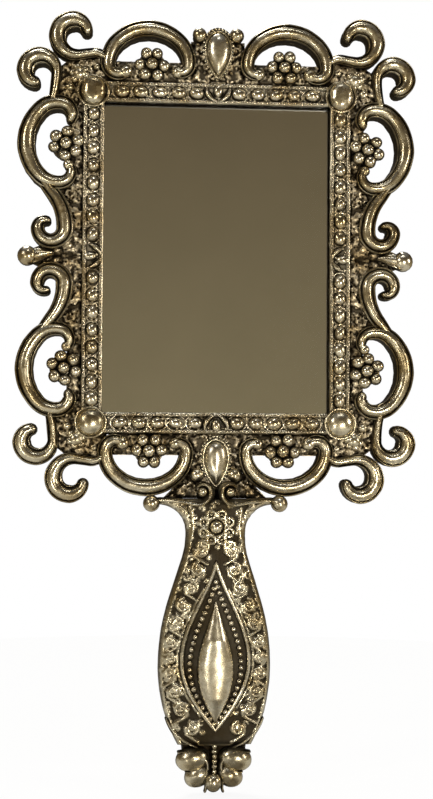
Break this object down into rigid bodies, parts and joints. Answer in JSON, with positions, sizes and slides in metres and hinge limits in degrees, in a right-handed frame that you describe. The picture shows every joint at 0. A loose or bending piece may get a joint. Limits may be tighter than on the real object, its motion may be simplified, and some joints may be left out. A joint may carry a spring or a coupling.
{
  "type": "hand mirror",
  "caption": "Hand mirror with a rectangular glass in a pierced scroll frame of antique silver finish, and a domed leaf-shaped handle.",
  "frame": {"origin": "middle of the back plate's outer face, behind the middle of the glass", "axes": "+Z from the handle to the top of the frame, -Y out of the glass towards the user, +X to the right as the glass is seen"},
  "size_m": [0.1394, 0.0133, 0.2689],
  "materials": {
    "antique": "cast white metal with an antique silver finish, dark in the hollows and rubbed bright on the crowns",
    "polished": "antique silver finish, burnished smooth",
    "dark_ground": "blackened white metal, the ground between the ornaments",
    "plain_back": "antique silver finish, plain and lightly brushed",
    "steel": "plain steel screws and rivets",
    "glass": "silvered flat glass",
    "card": "brown backing card"
  },
  "bodies": {
    "root": {"ground_plate": "dark_ground", "back_plate": "plain_back", "back_screws": "steel", "backing_card": "card", "mirror_glass": "glass", "bezel_top": "antique", "bezel_bottom": "antique", "bezel_left": "antique", "bezel_right": "antique", "boss_top_left": "polished", "boss_top_right": "polished", "boss_bottom_left": "polished", "boss_bottom_right": "polished", "collet_top": "antique", "collet_bottom": "antique", "drop_top": "polished", "drop_bottom": "polished", "top_scroll_left": "antique", "top_scroll_right": "antique", "bottom_scroll_left": "antique", "bottom_scroll_right": "antique", "side_scroll_top_left": "antique", "side_scroll_top_right": "antique", "side_scroll_bottom_left": "antique", "side_scroll_bottom_right": "antique", "corner_scroll_top_left": "antique", "corner_scroll_top_right": "antique", "corner_scroll_bottom_left": "antique", "corner_scroll_bottom_right": "antique", "mid_scroll_top_left": "antique", "mid_scroll_top_right": "antique", "mid_scroll_bottom_left": "antique", "mid_scroll_bottom_right": "antique", "knob_left": "antique", "knob_right": "antique", "flower_top_left": "antique", "flower_top_right": "antique", "flower_bottom_left": "antique", "flower_bottom_right": "antique", "flower_side_top_left": "antique", "flower_side_top_right": "antique", "flower_side_bottom_left": "antique", "flower_side_bottom_right": "antique", "bud_top_left": "antique", "bud_top_right": "antique", "bud_bottom_left": "antique", "bud_bottom_right": "antique", "handle_front": "antique", "handle_back": "plain_back", "handle_rivets": "steel", "handle_rim": "antique", "handle_beads": "antique", "handle_drop": "polished", "handle_scrolls_left": "antique", "handle_scrolls_right": "antique", "neck_flower": "antique", "finial": "antique"}
  },
  "joints": []
}
